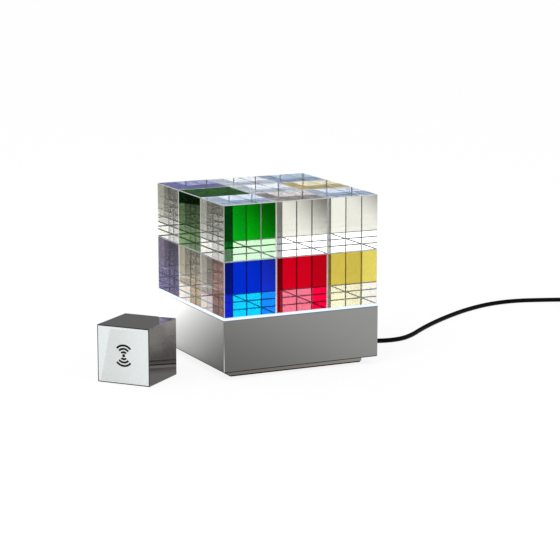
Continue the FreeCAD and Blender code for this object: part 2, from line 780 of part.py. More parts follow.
def make_adapter_shell(label, near, pins):
    """One half of the adapter's case: a tray with rounded outer edges, open at the joint plane y = 0."""
    shell = adapter_part(label)
    half_depth = "(adapter_depth / 2)"
    start = "0" if near else f"-{half_depth}"
    block(shell, "case", "adapter_length", half_depth, "adapter_width", ("-adapter_length / 2", start, "0"))
    outer = size("adapter_depth") / 2
    break_edges(shell, "case_edges", lambda edge: all(abs(point.y) > outer - 1e-3 for point in ends(edge)),
                "adapter_edge", rounded=True)
    hollow_start = "0" if near else f"-{half_depth} + adapter_wall"
    block(shell, "hollow", "(adapter_length - 2 * adapter_wall)", f"({half_depth} - adapter_wall)",
          "(adapter_width - 2 * adapter_wall)",
          ("-adapter_length / 2 + adapter_wall", hollow_start, "adapter_wall"), cutting=True)
    if pins:
        for number, level in enumerate(pin_levels(), start=1):
            hole = shell.newObject("PartDesign::SubtractiveCylinder", f"pin_hole_{number}")
            hole.Placement.Rotation = FreeCAD.Rotation(Vector(1, 0, 0), -90)
            bind(hole, Radius="(pin_collar_radius + thread_gap)", Height="adapter_wall",
                 at=("pin_place", f"{half_depth} - adapter_wall", level))
    part(shell, label)


def pin_levels():
    """Heights of the two contact pins."""
    return ["adapter_width / 2 - pin_spacing / 2", "adapter_width / 2 + pin_spacing / 2"]


def make_adapter_pins():
    """Two round contact pins with rounded tips, each on a thicker collar that starts inside the case."""
    pins = []
    x = "adapter_x + pin_place"
    face = "adapter_y + adapter_depth / 2"
    for number, level in enumerate(pin_levels(), start=1):
        collar = cylinder(f"pin_collar_{number}", "pin_collar_radius", "(pin_root + pin_collar_rise)",
                          (x, f"{face} - pin_root", level))
        contact = cylinder(f"pin_contact_{number}", "pin_radius",
                           "(pin_length - pin_radius - pin_collar_rise)",
                           (x, f"{face} + pin_collar_rise", level))
        for piece in (collar, contact):
            piece.Placement.Rotation = FreeCAD.Rotation(Vector(1, 0, 0), -90)
        tip = bind(doc.addObject("Part::Sphere", f"pin_tip_{number}"), Radius="pin_radius",
                   at=(x, f"{face} + pin_length - pin_radius", level))
        pins.append(joined(f"pin_{number}", [collar, contact, tip]))
    part(group("adapter_pins", pins), "adapter_pins")


def make_adapter_inside():
    """Board across the case, with the transformer on it."""
    board = adapter_part("adapter_board")
    inner = "(adapter_width - 2 * adapter_wall)"
    block(board, "board_sheet", "(adapter_length - 2 * adapter_wall)", "adapter_board_thickness", inner,
          ("-adapter_length / 2 + adapter_wall", "-adapter_board_thickness - fit_gap", "adapter_wall"))
    part(board, "adapter_board")
    transformer = adapter_part("adapter_transformer")
    block(transformer, "core", "transformer_length", "transformer_height", "transformer_width",
          ("-adapter_length / 2 + 3 * adapter_wall",
           "-adapter_board_thickness - fit_gap - transformer_height",
           "(adapter_width - transformer_width) / 2"))
    part(transformer, "adapter_transformer")


def make_adapter_bush():
    """Tapered rubber bush round the lead where it enters the adapter."""
    face = -size("adapter_length") / 2
    bore = size("cord_diameter") / 2 + size("bore_gap")
    outline = [(face, bore), (face, size("bush_radius")),
               (face - size("bush_length"), size("bush_tip_radius")), (face - size("bush_length"), bore)]
    points = [Vector(x, 0, radius) for x, radius in outline]
    profile = Part.Face(Part.makePolygon(points + points[:1]))
    feature = doc.addObject("Part::Feature", "adapter_bush")
    feature.Shape = profile.revolve(Vector(0, 0, 0), Vector(1, 0, 0), 360)
    feature.Placement.Base = Vector(size("adapter_x"), size("adapter_y"), size("adapter_width") / 2)
    part(feature, "adapter_bush")


# ---------------------------------------------------------------------------------------------------
# Lead: tubes on straight runs and tangent arcs, and a coil of its spare length

# Free stretch from inside the strain relief, along the table, to the coil. The points were chosen by hand.
CORD_ROUTE = [
    (55.0, 0.0, 3.1), (76.0, 0.0, 3.1), (92.0, -4.6, 1.75), (109.0, -6.2, 1.75), (124.0, 1.5, 1.75),
    (143.0, 18.5, 1.75), (163.0, 34.4, 1.75), (187.0, 51.0, 1.75), (214.0, 67.0, 1.75),
    (242.0, 78.0, 1.75), (268.0, 79.5, 1.75), (291.0, 71.5, 1.75), (308.0, 63.5, 2.0),
    (318.0, 62.0, 2.6), (326.5, 62.0, 2.6),
]
# Lead inside the base, from the terminal down into the slot and the strain relief.
TAIL_ROUTE = [(8.0, 0.0, 12.8), (18.0, 0.0, 12.8), (30.0, 0.0, 3.1), (55.0, 0.0, 3.1)]
# Short stretch from the coil's top turn to the adapter.
END_ROUTE = [(333.5, 62.0, 14.45), (342.0, 62.0, 14.45), (357.5, 62.0, 14.0), (373.0, 62.0, 14.0)]


def run_and_arc_path(route, label):
    """Join route points by straight runs, with a tangent arc at each point as large as its runs allow.

    The arc's radius is 0.45 of the shorter run, divided by the tangent of half the turn.
    """
    points = [Vector(*place) for place in route]
    edges = []
    radii = []
    start = points[0]
    for before, corner, after in zip(points, points[1:], points[2:]):
        incoming = (corner - before).normalize()
        outgoing = (after - corner).normalize()
        turn = incoming.getAngle(outgoing)
        reach = 0.45 * min(corner.distanceToPoint(before), corner.distanceToPoint(after))
        radii.append(reach / math.tan(turn / 2))
        arc_start = corner - incoming * reach
        arc_end = corner + outgoing * reach
        inward = (outgoing - incoming).normalize()
        middle = corner + inward * (radii[-1] / math.cos(turn / 2) - radii[-1])
        edges.append(Part.LineSegment(start, arc_start).toShape())
        edges.append(Part.Arc(arc_start, middle, arc_end).toShape())
        start = arc_end
    edges.append(Part.LineSegment(start, points[-1]).toShape())
    print(label, "radii", [round(radius, 1) for radius in radii])
    return Part.Wire(edges)


def tube(path, label):
    """Sweep the lead's round section along a path and compare its volume with section times length."""
    radius = size("cord_diameter") / 2
    first = path.Edges[0]
    direction = first.tangentAt(first.FirstParameter)
    section = Part.Wire(Part.makeCircle(radius, first.valueAt(first.FirstParameter), direction))
    solid = path.makePipeShell([section], True, False)
    expected = math.pi * radius ** 2 * path.Length
    print(f"{label}: length {path.Length:.1f} mm, volume ratio {solid.Volume / expected:.5f}")
    return solid


def make_lead(label, route):
    """One free stretch of the lead."""
    feature = doc.addObject("Part::Feature", label)
    feature.Shape = tube(run_and_arc_path(route, label), label)
    part(feature, label)


COIL_LAYERS = 4
TURNS_PER_LAYER = 3


def turn_pitch():
    """Distance from one turn's centre line to the next."""
    return size("cord_diameter") + size("turn_gap")


def first_turn_level():
    """Height of the coil's lowest turn, which lies on the ties."""
    return size("tie_thickness") + size("tie_rest") + size("cord_diameter") / 2


def top_turn_level():
    """Height of the coil's top turn, where the lead leaves it."""
    return first_turn_level() + (COIL_LAYERS - 1) * turn_pitch()


def coil_outer_radius():
    """Radius of the coil's outermost turn."""
    return size("coil_mean_radius") + TURNS_PER_LAYER / 2 * turn_pitch()


def coil_centre():
    """Centre of the coil: the lead arrives at its outermost turn, heading along +X."""
    arrival = Vector(*CORD_ROUTE[-1])
    return Vector(arrival.x + size("cord_diameter"), arrival.y - coil_outer_radius(), 0)


def coil_point(turn):
    """Centre line of the coil after a number of turns, clockwise from above.

    The radius falls and rises again at one pitch per turn, as a triangle wave, and the height climbs one
    pitch in the half turn about each reversal.
    """
    layer = min(int(turn // TURNS_PER_LAYER), COIL_LAYERS - 1)
    within = turn - layer * TURNS_PER_LAYER
    inward = within if layer % 2 == 0 else TURNS_PER_LAYER - within
    radius = coil_outer_radius() - inward * turn_pitch()
    climb = 0.0
    for reversal in range(1, COIL_LAYERS):
        share = (turn - reversal * TURNS_PER_LAYER) / 0.5 + 0.5
        share = min(max(share, 0.0), 1.0)
        climb += share * share * (3 - 2 * share)
    angle = math.pi / 2 - 2 * math.pi * turn
    level = first_turn_level() + climb * turn_pitch()
    return coil_centre() + Vector(radius * math.cos(angle), radius * math.sin(angle), level)


def coil_direction(turn):
    """Direction of the coil's centre line, level and square to the radius where the coil begins or ends."""
    total = COIL_LAYERS * TURNS_PER_LAYER
    if turn in (0, total):
        return Vector(1, 0, 0)
    step = 0.01
    return (coil_point(turn + step) - coil_point(turn - step)).normalize()


def biarc(start, start_direction, end, end_direction):
    """Join two points with two tangent arcs of equal tangent length."""
    span = end - start
    both = start_direction + end_direction
    spread = 2 * (1 - start_direction.dot(end_direction))
    along = span.dot(both)
    reach = (math.sqrt(along * along + spread * span.dot(span)) - along) / spread
    first_corner = start + start_direction * reach
    second_corner = end - end_direction * reach
    joint = (first_corner + second_corner) * 0.5
    return [tangent_arc(start, first_corner, joint), tangent_arc(joint, second_corner, end)]


def tangent_arc(start, corner, end):
    """Arc from start to end whose end tangents meet at a corner."""
    chord_middle = (start + end) * 0.5
    half_turn = (corner - start).getAngle(end - start)
    middle = chord_middle + (corner - chord_middle) * (math.tan(half_turn / 2) / math.tan(half_turn))
    return Part.Arc(start, middle, end).toShape()


def coil_path():
    """Path of the coil: a straight end of one diameter, quarter turns as biarcs, a straight end."""
    total = COIL_LAYERS * TURNS_PER_LAYER
    turns = [quarter / 4 for quarter in range(4 * total + 1)]
    diameter = size("cord_diameter")
    edges = [Part.LineSegment(coil_point(0) - Vector(diameter, 0, 0), coil_point(0)).toShape()]
    for first, second in zip(turns, turns[1:]):
        edges += biarc(coil_point(first), coil_direction(first), coil_point(second), coil_direction(second))
    edges.append(Part.LineSegment(coil_point(total), coil_point(total) + Vector(diameter, 0, 0)).toShape())
    return Part.Wire(edges)


def print_least_gap(path):
    """Measure the least gap between turns on points of the centre line, and print it."""
    count = 96
    total = COIL_LAYERS * TURNS_PER_LAYER
    points = [coil_point(step / count) for step in range(count * total + 1)]
    least = min(points[first].distanceToPoint(points[second])
                for first in range(0, len(points), 4)
                for second in range(first + count // 2, len(points), 4))
    tightest = min(edge.Curve.Radius for edge in path.Edges if hasattr(edge.Curve, "Radius"))
    print(f"cord_coil: least gap {least - size('cord_diameter'):.2f} mm, tightest radius {tightest:.1f} mm")


def make_coil():
    """Spare lead, wound in layers that spiral in and out again."""
    path = coil_path()
    feature = doc.addObject("Part::Feature", "cord_coil")
    feature.Shape = tube(path, "cord_coil")
    print_least_gap(path)
    part(feature, "cord_coil")


def make_ties():
    """Two bands round the coil's bundle, on opposite sides; the coil lies on them."""
    bands = []
    diameter = size("cord_diameter")
    inner_radius = coil_outer_radius() - TURNS_PER_LAYER * turn_pitch() - diameter / 2 - size("tie_gap")
    outer_radius = coil_outer_radius() + diameter / 2 + size("tie_gap")
    inner_top = top_turn_level() + diameter / 2 + size("tie_gap")
    thickness = size("tie_thickness")
    width = size("tie_width")
    centre = coil_centre()
    for side in (-1, 1):
        near = inner_radius - thickness
        far = outer_radius + thickness
        low = min(side * near, side * far)
        block_shape = Part.makeBox(far - near, width, inner_top + thickness, Vector(low, -width / 2, 0))
        hole_low = min(side * inner_radius, side * outer_radius)
        hole = Part.makeBox(outer_radius - inner_radius, width, inner_top - thickness,
                            Vector(hole_low, -width / 2, thickness))
        band = block_shape.cut(hole)
        band.translate(centre)
        bands.append(band)
    feature = doc.addObject("Part::Feature", "cord_ties")
    feature.Shape = Part.makeCompound(bands)
    part(feature, "cord_ties")


# ---------------------------------------------------------------------------------------------------

make_foot_pad()
make_base_plate()
make_base_screws()
make_housing()
make_drilled_board("heat_spreader", "spreader_thickness", POST_TOP, wire_hole=True)
make_drilled_board("led_board", "led_board_thickness", f"({POST_TOP} + spreader_thickness)", wire_hole=False)
make_led_packages()
make_led_screws()
make_reflector()
make_opal_plate()
make_control_board()
make_control_parts()
make_led_wires()
make_cord_clamp()
make_lead("cord_tail", TAIL_ROUTE)
make_strain_relief()
make_cubes()
make_controller_shell()
make_controller_panels()
make_controller_inside()
make_controller_foot()
make_lead("cord", CORD_ROUTE)
make_coil()
make_ties()
make_lead("cord_end", END_ROUTE)
make_adapter_bush()
make_adapter_shell("adapter_front_shell", near=True, pins=True)
make_adapter_shell("adapter_rear_shell", near=False, pins=False)
make_adapter_pins()
make_adapter_inside()

doc.recompute()
faults = [item.Name for item in doc.Objects if "Invalid" in item.State or "Error" in item.State]
faults += [item.Label for item in parts if item.Shape.isNull() or not item.Shape.isValid()]
if faults:
    raise RuntimeError("these objects did not build: " + ", ".join(faults))

os.makedirs("parts", exist_ok=True)
for item in parts:
    item.Shape.exportStep(f"parts/{item.Label}.step")
print(len(parts), "sub-parts written")
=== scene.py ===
"""A table light of loose glass cubes on a glowing opal plate, with its lead and its mirror-cube controller.

Lengths are in metres unless a name says millimetres. The frame is the CAD's: X along the front, -Y the
front, Z up, with the origin on the table under the centre of the base.
"""

import json
import math

import bpy
import numpy as np
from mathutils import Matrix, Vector


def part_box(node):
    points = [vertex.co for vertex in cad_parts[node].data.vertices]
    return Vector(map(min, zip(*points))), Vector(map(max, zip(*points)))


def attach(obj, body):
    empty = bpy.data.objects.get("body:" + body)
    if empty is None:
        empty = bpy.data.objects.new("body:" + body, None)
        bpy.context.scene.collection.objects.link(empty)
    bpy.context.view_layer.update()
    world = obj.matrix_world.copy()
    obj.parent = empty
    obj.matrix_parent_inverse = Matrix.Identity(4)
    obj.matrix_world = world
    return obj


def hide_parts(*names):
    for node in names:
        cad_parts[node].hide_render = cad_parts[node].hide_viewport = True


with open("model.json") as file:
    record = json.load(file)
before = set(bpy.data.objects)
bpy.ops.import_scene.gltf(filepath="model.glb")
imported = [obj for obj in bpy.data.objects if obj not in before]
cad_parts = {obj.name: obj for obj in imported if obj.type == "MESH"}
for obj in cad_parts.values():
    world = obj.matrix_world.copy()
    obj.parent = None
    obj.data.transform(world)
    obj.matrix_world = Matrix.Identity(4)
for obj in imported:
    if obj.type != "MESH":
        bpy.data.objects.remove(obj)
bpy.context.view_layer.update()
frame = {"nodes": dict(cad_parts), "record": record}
NODES = frame["nodes"]
MM = 0.001
SLOT_OF = {row["node"]: row["material_slot"] for row in frame["record"]["subparts"]}
scene = bpy.context.scene

# ---------------------------------------------------------------------------------------------------
# Camera

CAMERA_PLACE = (-0.60995, -1.29255, 0.33575)
CAMERA_PITCH_DOWN = 11.077
CAMERA_TURN = -25.687
CAMERA_LENS = 127.36


def make_camera():
    """Camera at the photograph's viewing angle, with a long lens and no shift."""
    data = bpy.data.cameras.new("camera")
    data.lens = CAMERA_LENS
    data.sensor_width = 36.0
    camera = bpy.data.objects.new("camera", data)
    camera.location = CAMERA_PLACE
    camera.rotation_euler = (math.radians(90 - CAMERA_PITCH_DOWN), 0, math.radians(CAMERA_TURN))
    scene.collection.objects.link(camera)
    scene.camera = camera


# ---------------------------------------------------------------------------------------------------
# Lead: the route and the coil are the CAD's, as control points of one smooth curve

LEAD_ROUTE_MM = [
    (55.0, 0.0, 3.1), (76.0, 0.0, 3.1), (92.0, -4.6, 1.75), (109.0, -6.2, 1.75), (124.0, 1.5, 1.75),
    (143.0, 18.5, 1.75), (163.0, 34.4, 1.75), (187.0, 51.0, 1.75), (214.0, 67.0, 1.75),
    (242.0, 78.0, 1.75), (268.0, 79.5, 1.75), (291.0, 71.5, 1.75), (308.0, 63.5, 2.0),
    (318.0, 62.0, 2.6), (326.5, 62.0, 2.6),
]
LEAD_END_MM = [(333.5, 62.0, 14.45), (342.0, 62.0, 14.45), (357.5, 62.0, 14.0), (373.0, 62.0, 14.0)]
LEAD_DIAMETER_MM = 3.5
COIL_LAYERS = 4
TURNS_PER_LAYER = 3
TURN_PITCH_MM = LEAD_DIAMETER_MM + 0.45
COIL_MEAN_RADIUS_MM = 20.8
COIL_POINTS_PER_TURN = 24


def coil_turns():
    """Centre line of the coil, clockwise from above.

    The radius falls and rises again at one pitch per turn, as a triangle wave, and the height climbs one
    pitch in the half turn about each reversal.
    """
    total = COIL_LAYERS * TURNS_PER_LAYER
    turn = np.linspace(0, total, total * COIL_POINTS_PER_TURN + 1)
    outer = COIL_MEAN_RADIUS_MM + TURNS_PER_LAYER / 2 * TURN_PITCH_MM
    layer = np.minimum(turn // TURNS_PER_LAYER, COIL_LAYERS - 1)
    within = turn - layer * TURNS_PER_LAYER
    inward = np.where(layer % 2 == 0, within, TURNS_PER_LAYER - within)
    radius = outer - inward * TURN_PITCH_MM
    reversals = TURNS_PER_LAYER * np.arange(1, COIL_LAYERS)
    share = np.clip((turn[:, None] - reversals) / 0.5 + 0.5, 0, 1)
    climb = (share * share * (3 - 2 * share)).sum(1) * TURN_PITCH_MM
    angle = np.pi / 2 - 2 * np.pi * turn
    arrival = np.array(LEAD_ROUTE_MM[-1])
    centre = arrival + (LEAD_DIAMETER_MM, -outer, 0)
    around = np.stack([radius * np.cos(angle), radius * np.sin(angle), climb], 1)
    return centre + around


def make_lead():
    """The whole free lead, from inside its strain relief to the adapter's bush, as one spline."""
    points = np.concatenate([LEAD_ROUTE_MM, coil_turns(), LEAD_END_MM]) * MM
    curve = bpy.data.curves.new("power_lead", "CURVE")
    curve.dimensions = "3D"
    curve.bevel_depth = 1.0
    curve.bevel_resolution = 6
    curve.resolution_u = 8
    curve.use_fill_caps = True
    spline = curve.splines.new("NURBS")
    spline.points.add(len(points) - 1)
    spline.points.foreach_set("co", np.column_stack([points, np.ones(len(points))]).ravel())
    # The points carry the radius, because a curve's box grows by theirs whatever its bevel is.
    spline.points.foreach_set("radius", np.full(len(points), LEAD_DIAMETER_MM / 2 * MM))
    spline.order_u = 3
    spline.use_endpoint_u = True
    lead = bpy.data.objects.new("power_lead", curve)
    scene.collection.objects.link(lead)
    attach(lead, "base")
    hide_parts("cord", "cord_coil", "cord_end")
    return lead


# ---------------------------------------------------------------------------------------------------
# Shader trees

class Value:
    """One socket of a shader tree. Python's operators on it add Math nodes."""

    def __init__(self, tree, socket):
        self.tree = tree
        self.socket = socket

    def math(self, operation, *others):
        """Result of a Math node with this value as its first input."""
        return self.tree.node("ShaderNodeMath", {"operation": operation}, dict(enumerate((self, *others))))

    def __add__(self, other):
        return self.math("ADD", other)

    def __sub__(self, other):
        return self.math("SUBTRACT", other)

    def __mul__(self, other):
        return self.math("MULTIPLY", other)

    def __truediv__(self, other):
        return self.math("DIVIDE", other)

    def __rsub__(self, other):
        return self.tree.node("ShaderNodeMath", {"operation": "SUBTRACT"}, {0: other, 1: self})

    __radd__ = __add__
    __rmul__ = __mul__

    def ease(self, low, high):
        """0 up to low, 1 from high on, and smooth between them. Low may be the larger of the two."""
        return self.tree.node("ShaderNodeMapRange", {"interpolation_type": "SMOOTHSTEP"},
                              {"Value": self, "From Min": low, "From Max": high})


class Tree:
    """Nodes of a material or of the world, made one after another."""

    def __init__(self, owner):
        owner.use_nodes = True
        self.owner = owner
        self.tree = owner.node_tree
        self.tree.nodes.clear()
        kind = "ShaderNodeOutputWorld" if isinstance(owner, bpy.types.World) else "ShaderNodeOutputMaterial"
        self.output = self.tree.nodes.new(kind)

    def node(self, kind, settings=None, inputs=None, output=0):
        """Add a node, make its settings, feed its inputs, and give one of its outputs."""
        node = self.tree.nodes.new(kind)
        for name, value in (settings or {}).items():
            if name == "stops":
                self.set_stops(node.color_ramp, value)
            elif name == "steps":
                node.color_ramp.interpolation = value
            else:
                setattr(node, name, value)
        for name, value in (inputs or {}).items():
            if isinstance(value, Value):
                self.tree.links.new(value.socket, node.inputs[name])
            else:
                node.inputs[name].default_value = value
        return Value(self, node.outputs[output])

    @staticmethod
    def set_stops(ramp, stops):
        """Give a colour ramp its stops, each a place from 0 to 1 and a colour."""
        while len(ramp.elements) < len(stops):
            ramp.elements.new(1.0)
        while len(ramp.elements) > len(stops):
            ramp.elements.remove(ramp.elements[-1])
        for element, (place, colour) in zip(ramp.elements, stops):
            element.position = place
            element.color = (*colour, 1.0)

    def steps(self, value, shares):
        """Colour that changes in sharp steps.

        Each entry is the value where a step starts, and the share of light that passes the face there. The
        colour is that share squared.
        """
        ramp = [(start, tuple(share ** 2 for share in colour)) for start, colour in shares]
        return self.node("ShaderNodeValToRGB", {"stops": ramp, "steps": "CONSTANT"}, {"Fac": value})

    def finish(self, shader):
        """Link a shader to the output, and give the material or the world."""
        self.tree.links.new(shader.socket, self.output.inputs["Surface"])
        return self.owner

    def object_place(self):
        """Place of the shaded point in its object's axes, in metres."""
        return self.node("ShaderNodeTexCoord", output="Object")

    def part_of(self, vector, axis):
        """One part of a vector, by its axis: X, Y or Z."""
        return self.node("ShaderNodeSeparateXYZ", inputs={0: vector}, output=axis)

    def noise(self, scale, detail=2.0):
        """Noise from 0 to 1 with about scale features per metre."""
        return self.node("ShaderNodeTexNoise", inputs={
            "Vector": self.object_place(), "Scale": scale, "Detail": detail})

    def mix_colour(self, factor, first, second):
        """Colour between first and second, by a factor from 0 to 1."""
        return self.node("ShaderNodeMix", {"data_type": "RGBA"}, {0: factor, 6: first, 7: second}, output=2)

    def mix_shader(self, factor, first, second):
        """Shader between first and second, by a factor from 0 to 1."""
        return self.node("ShaderNodeMixShader", inputs={0: factor, 1: first, 2: second})

    def emission(self, colour, strength=1.0):
        """Surface that sends out its colour times its strength, whatever falls on it."""
        return self.node("ShaderNodeEmission", inputs={"Color": colour, "Strength": strength})

    def principled(self, **inputs):
        """Principled shader. Words in a name are joined by underscores, as in Base_Color."""
        return self.node("ShaderNodeBsdfPrincipled",
                         inputs={name.replace("_", " "): value for name, value in inputs.items()})

    def bump(self, height, distance):
        """Normal of a relief whose height of 1 stands for a distance in metres."""
        return self.node("ShaderNodeBump", inputs={"Height": height, "Distance": distance, "Strength": 1.0})


def tree_for(name):
    """Start a new material and its tree."""
    return Tree(bpy.data.materials.new(name))


# ---------------------------------------------------------------------------------------------------
# Finishes

def grey(level):
    """Opaque grey of one level."""
    return (level, level, level, 1.0)


METAL_SPREAD = 0.03
METAL_GRAIN = 6000.0
METAL_GRAIN_DEPTH = 2e-6


def grained_metal(tree, colour, roughness):
    """Metal with a fine even grain and slow, slight changes of sheen about a mean roughness."""
    rough = tree.noise(40.0, 3.0) * METAL_SPREAD + (roughness - METAL_SPREAD / 2)
    normal = tree.bump(tree.noise(METAL_GRAIN), METAL_GRAIN_DEPTH)
    return tree.finish(tree.principled(Base_Color=colour, Metallic=1.0, Roughness=rough, Normal=normal))


def metal_finish(name, colour, roughness):
    """Grained metal of one colour."""
    return grained_metal(tree_for(name), colour, roughness)


BASE_ROUGHNESS = 0.25
# Height of the band of painted shade along the housing's lower edge.
PAINTED_SHADE_EDGE = 0.6 * MM
COLOUR_FADE = 0.2 * MM


def base_finish():
    """Satin metal of the base.

    By height it is warmer on the recessed plinth, dark along the housing's lower edge, and grey above that.
    The dark band along the lower edge is painted shade.
    """
    tree = tree_for("satin_metal")
    height = tree.part_of(tree.object_place(), "Z")
    housing_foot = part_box("base_housing")[0][2]
    # Painted shade: a dark band along the housing's lower edge, with the grey metal above it.
    shade_band_top = housing_foot + PAINTED_SHADE_EDGE
    upper = tree.mix_colour(height.ease(shade_band_top, shade_band_top + COLOUR_FADE),
                            (0.06, 0.055, 0.05, 1.0), (0.60, 0.60, 0.59, 1.0))
    colour = tree.mix_colour(height.ease(housing_foot - COLOUR_FADE, housing_foot),
                             (0.70, 0.64, 0.58, 1.0), upper)
    return grained_metal(tree, colour, BASE_ROUGHNESS)


MOULDED_SPREAD = 0.08


def moulded_finish(name, colour, roughness, grain=2500.0, grain_depth=8e-6, specular=0.5):
    """Plastic or rubber: a fine moulded texture, and a slightly uneven colour and sheen."""
    tree = tree_for(name)
    variation = tree.noise(60.0, 3.0)
    lighter = tuple(min(1.0, part * 1.12 + 0.001) for part in colour[:3]) + (1.0,)
    tint = tree.mix_colour(variation, colour, lighter)
    rough = variation * MOULDED_SPREAD + (roughness - MOULDED_SPREAD / 2)
    normal = tree.bump(tree.noise(grain), grain_depth)
    return tree.finish(tree.principled(Base_Color=tint, Roughness=rough, Specular_IOR_Level=specular,
                                       Normal=normal))


THREAD = 0.7 * MM
THREAD_RELIEF = 0.05 * MM


def woven_finish(name, colour):
    """Woven band: two crossed waves make the raised threads."""
    tree = tree_for(name)
    place = tree.object_place()
    turns = 2 * math.pi / THREAD
    waves = [(tree.part_of(place, axis) * turns).math("SINE") for axis in "XYZ"]
    weave = (waves[0] * waves[1] + waves[2] * waves[1]) * 0.25 + 0.5
    lighter = tuple(part * 1.8 + 0.01 for part in colour[:3]) + (1.0,)
    tint = tree.mix_colour(weave, colour, lighter)
    normal = tree.bump(weave, THREAD_RELIEF)
    return tree.finish(tree.principled(Base_Color=tint, Roughness=0.85, Normal=normal))


TRACK_SPACING = 2.5 * MM
TRACK_RELIEF = 0.03 * MM
TRACK_EDGE = (0.55, 0.75)
FIELD_EDGE = (0.48, 0.52)


def board_finish(name, colour, track_colour):
    """Circuit board: solder mask over straight copper tracks, which show a little lighter."""
    tree = tree_for(name)
    place = tree.object_place()
    across = tree.part_of(place, "X")
    along = tree.part_of(place, "Y")
    turns = 2 * math.pi / TRACK_SPACING
    stripes = (along * turns).math("SINE").ease(*TRACK_EDGE)
    fields = tree.noise(90.0, 0.0).ease(*FIELD_EDGE)
    cross = (across * turns).math("SINE").ease(*TRACK_EDGE)
    tracks = stripes * fields + cross * (1 - fields)
    tint = tree.mix_colour(tracks, colour, track_colour)
    normal = tree.bump(tracks, TRACK_RELIEF)
    return tree.finish(tree.principled(Base_Color=tint, Roughness=0.35, Normal=normal))


GLASS_IOR = 1.52


def clear_glass(name, colour=(1.0, 1.0, 1.0, 1.0)):
    """Polished glass face. Light that passes it takes on the root of its colour."""
    tree = tree_for(name)
    return tree.finish(tree.principled(Base_Color=colour, Roughness=0.0, IOR=GLASS_IOR,
                                       Transmission_Weight=1.0))


def ground_glass(name, colour, clearness=1.0):
    """Finely ground bevel: a frosted glass face, milky where its clearness is below 1."""
    tree = tree_for(name)
    rough = tree.noise(3000.0) * 0.1 + 0.12
    return tree.finish(tree.principled(Base_Color=colour, Roughness=rough, IOR=GLASS_IOR,
                                       Transmission_Weight=clearness))


# Height over the housing's top up to which the plate's edge has painted shade.
PAINTED_SHADE_LIP = 0.6 * MM
LIP_FADE = 0.1 * MM


def opal_finish():
    """Lit opal plate, a cool white.

    Its top has one glow and its edge another. The edge's lowest part, next to the housing, is kept dim:
    that is painted shade, in both its glow and its colour.
    """
    tree = tree_for("opal_plate")
    variation = tree.noise(25.0, 1.0)
    top = tree.mix_colour(variation, (0.48, 0.64, 0.88, 1.0), (0.56, 0.71, 0.92, 1.0))
    normal = tree.node("ShaderNodeTexCoord", output="Normal")
    upward = tree.part_of(normal, "Z").ease(0.5, 0.9)
    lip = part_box("base_housing")[1][2] + PAINTED_SHADE_LIP
    above_painted_shade = tree.part_of(tree.object_place(), "Z").ease(lip, lip + LIP_FADE)
    # Painted shade: the edge's glow and its colour are dim up to the lip.
    edge = tree.mix_colour(above_painted_shade, (0.10, 0.105, 0.11, 1.0), (0.62, 0.72, 0.80, 1.0))
    glow = tree.mix_colour(upward, edge, top)
    body = tree.mix_colour(above_painted_shade, grey(0.05), (0.25, 0.26, 0.27, 1.0))
    return tree.finish(tree.principled(Base_Color=body, Roughness=0.12,
                                       Emission_Color=glow, Emission_Strength=1.12))


def distance_along(tree, direction, origin):
    """Distance of the shaded point from an origin, along a level direction."""
    place = tree.object_place()
    return ((tree.part_of(place, "X") - origin.x) * direction.x
            + (tree.part_of(place, "Y") - origin.y) * direction.y)


SHELL_RIM = 19.8 * MM


def shell_finish():
    """Polished dark chrome of the controller, nearly black from its rim forwards, round the panel."""
    tree = tree_for("mirror_metal")
    origin, _, front = controller_axes()
    rim = distance_along(tree, front, origin).ease(SHELL_RIM, SHELL_RIM + COLOUR_FADE)
    tint = tree.mix_colour(rim, (0.60, 0.585, 0.57, 1.0), (0.10, 0.10, 0.10, 1.0))
    rough = tree.noise(40.0, 3.0) * 0.02 + 0.02
    normal = tree.bump(tree.noise(60.0), 2e-7)
    return tree.finish(tree.principled(Base_Color=tint, Metallic=1.0, Roughness=rough, Normal=normal))


PANEL_MIDDLE = 20.4 * MM
PANEL_RIM = (18.6 * MM, 18.9 * MM)
PANEL_PAINTED_SHADING = (-12.0 * MM, 20.0 * MM)
PAINTED_REFLECTION_EDGE = (-18.1 * MM, -18.5 * MM)
PAINTED_REFLECTION_SLANT = 0.21


def panel_finish():
    """White-backed glass panel of the controller.

    It is whiter towards the right, near its rim, and in a strip on the left whose edge slants with height.
    The whitening towards the right is painted shading, and the slanting strip is a painted reflection.
    """
    tree = tree_for("controller_panel")
    origin, right, _ = controller_axes()
    across = distance_along(tree, right, origin)
    up = tree.part_of(tree.object_place(), "Z")
    # Painted reflection: a pale strip on the left, whose edge slants with height.
    strip = (across - up * PAINTED_REFLECTION_SLANT).ease(*PAINTED_REFLECTION_EDGE)
    off_middle = (up - PANEL_MIDDLE).math("ABSOLUTE")
    rim = across.math("ABSOLUTE").math("MAXIMUM", off_middle).ease(*PANEL_RIM)
    # Mostly painted shading, whiter towards the right, with a little random tone.
    variation = tree.noise(30.0, 2.0) * 0.2 + across.ease(*PANEL_PAINTED_SHADING) * 0.8
    variation = variation.math("MAXIMUM", strip * 1.1).math("MAXIMUM", rim * 1.5)
    tint = tree.mix_colour(variation, (0.74, 0.78, 0.77, 1.0), (0.88, 0.92, 0.92, 1.0))
    return tree.finish(tree.principled(Base_Color=tint, Roughness=0.06, IOR=1.5))


def print_finish():
    """Dark grey print of the pictogram."""
    tree = tree_for("pictogram_print")
    tint = tree.mix_colour(tree.noise(900.0), (0.004, 0.004, 0.005, 1.0), (0.009, 0.009, 0.010, 1.0))
    return tree.finish(tree.principled(Base_Color=tint, Roughness=0.4))


def phosphor_finish():
    """LED package: a white cup with a yellow phosphor."""
    tree = tree_for("led_phosphor")
    tint = tree.mix_colour(tree.noise(1500.0), (0.85, 0.70, 0.18, 1.0), (0.92, 0.80, 0.30, 1.0))
    return tree.finish(tree.principled(Base_Color=tint, Roughness=0.5))


